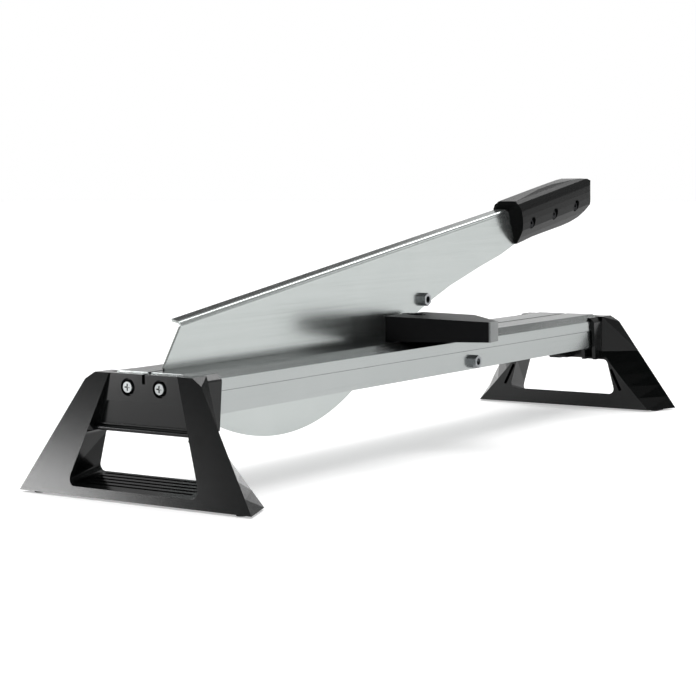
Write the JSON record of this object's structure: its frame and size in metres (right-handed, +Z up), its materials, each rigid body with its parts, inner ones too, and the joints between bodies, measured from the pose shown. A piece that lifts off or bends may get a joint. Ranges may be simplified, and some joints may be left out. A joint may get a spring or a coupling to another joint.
{
  "type": "tile cutter",
  "caption": "Guillotine tile and plank cutter: two trapezoid feet carry a slotted rail, with a hinged lever blade, a hand grip and a swivelling mitre fence.",
  "frame": {"origin": "on the ground under the middle of the tool's bounding box", "axes": "+X along the rail from the hinge foot to the handle, +Y across it towards the side without the fence, +Z up; the blade lies in the plane y = 0"},
  "size_m": [0.7002, 0.218, 0.2282],
  "materials": {
    "foot_plastic": "black glass-filled plastic, fine spark texture on the legs, smoother in the recess",
    "grip_plastic": "black plastic with a fine texture",
    "fence_plastic": "black plastic, satin",
    "rail_aluminium": "satin anodised extrusion with fine drawn lines along its length",
    "cap_aluminium": "sawn end, matt grey",
    "blade_steel": "ground sheet steel, satin",
    "zinc_steel": "zinc-plated steel fasteners",
    "bush_bronze": "plain bronze",
    "pad_rubber": "black rubber"
  },
  "bodies": {
    "base": {"front_foot": "foot_plastic", "rear_foot": "foot_plastic", "front_rail": "rail_aluminium", "back_rail": "rail_aluminium", "front_foot_screws": "zinc_steel", "rear_foot_screws": "zinc_steel", "front_foot_pads": "pad_rubber", "rear_foot_pads": "pad_rubber", "tie_bolt": "zinc_steel", "tie_spacer": "zinc_steel", "tie_nut": "zinc_steel", "pivot_pin": "zinc_steel", "pivot_washers": "zinc_steel", "fence_screw": "zinc_steel", "fence_washer": "zinc_steel", "fence_nut": "zinc_steel"},
    "lever": {"blade": "blade_steel", "grip_left": "grip_plastic", "grip_right": "grip_plastic", "grip_screws": "zinc_steel", "grip_nuts": "zinc_steel", "pivot_bush": "bush_bronze", "stop_bolt": "zinc_steel", "stop_nut": "zinc_steel"},
    "fence": {"fence_body": "fence_plastic", "fence_end_cap": "cap_aluminium"}
  },
  "joints": [
    {"name": "lever_hinge", "type": "hinge", "parent": "base", "child": "lever", "pos_m": [-0.3044, 0, 0.0776], "axis": [0, -1, 0], "range_deg": [-4, 45]},
    {"name": "fence_swivel", "type": "hinge", "parent": "base", "child": "fence", "pos_m": [0.0006, -0.022, 0.0937], "axis": [0, 0, 1], "range_deg": [-22.5, 22.5]}
  ]
}
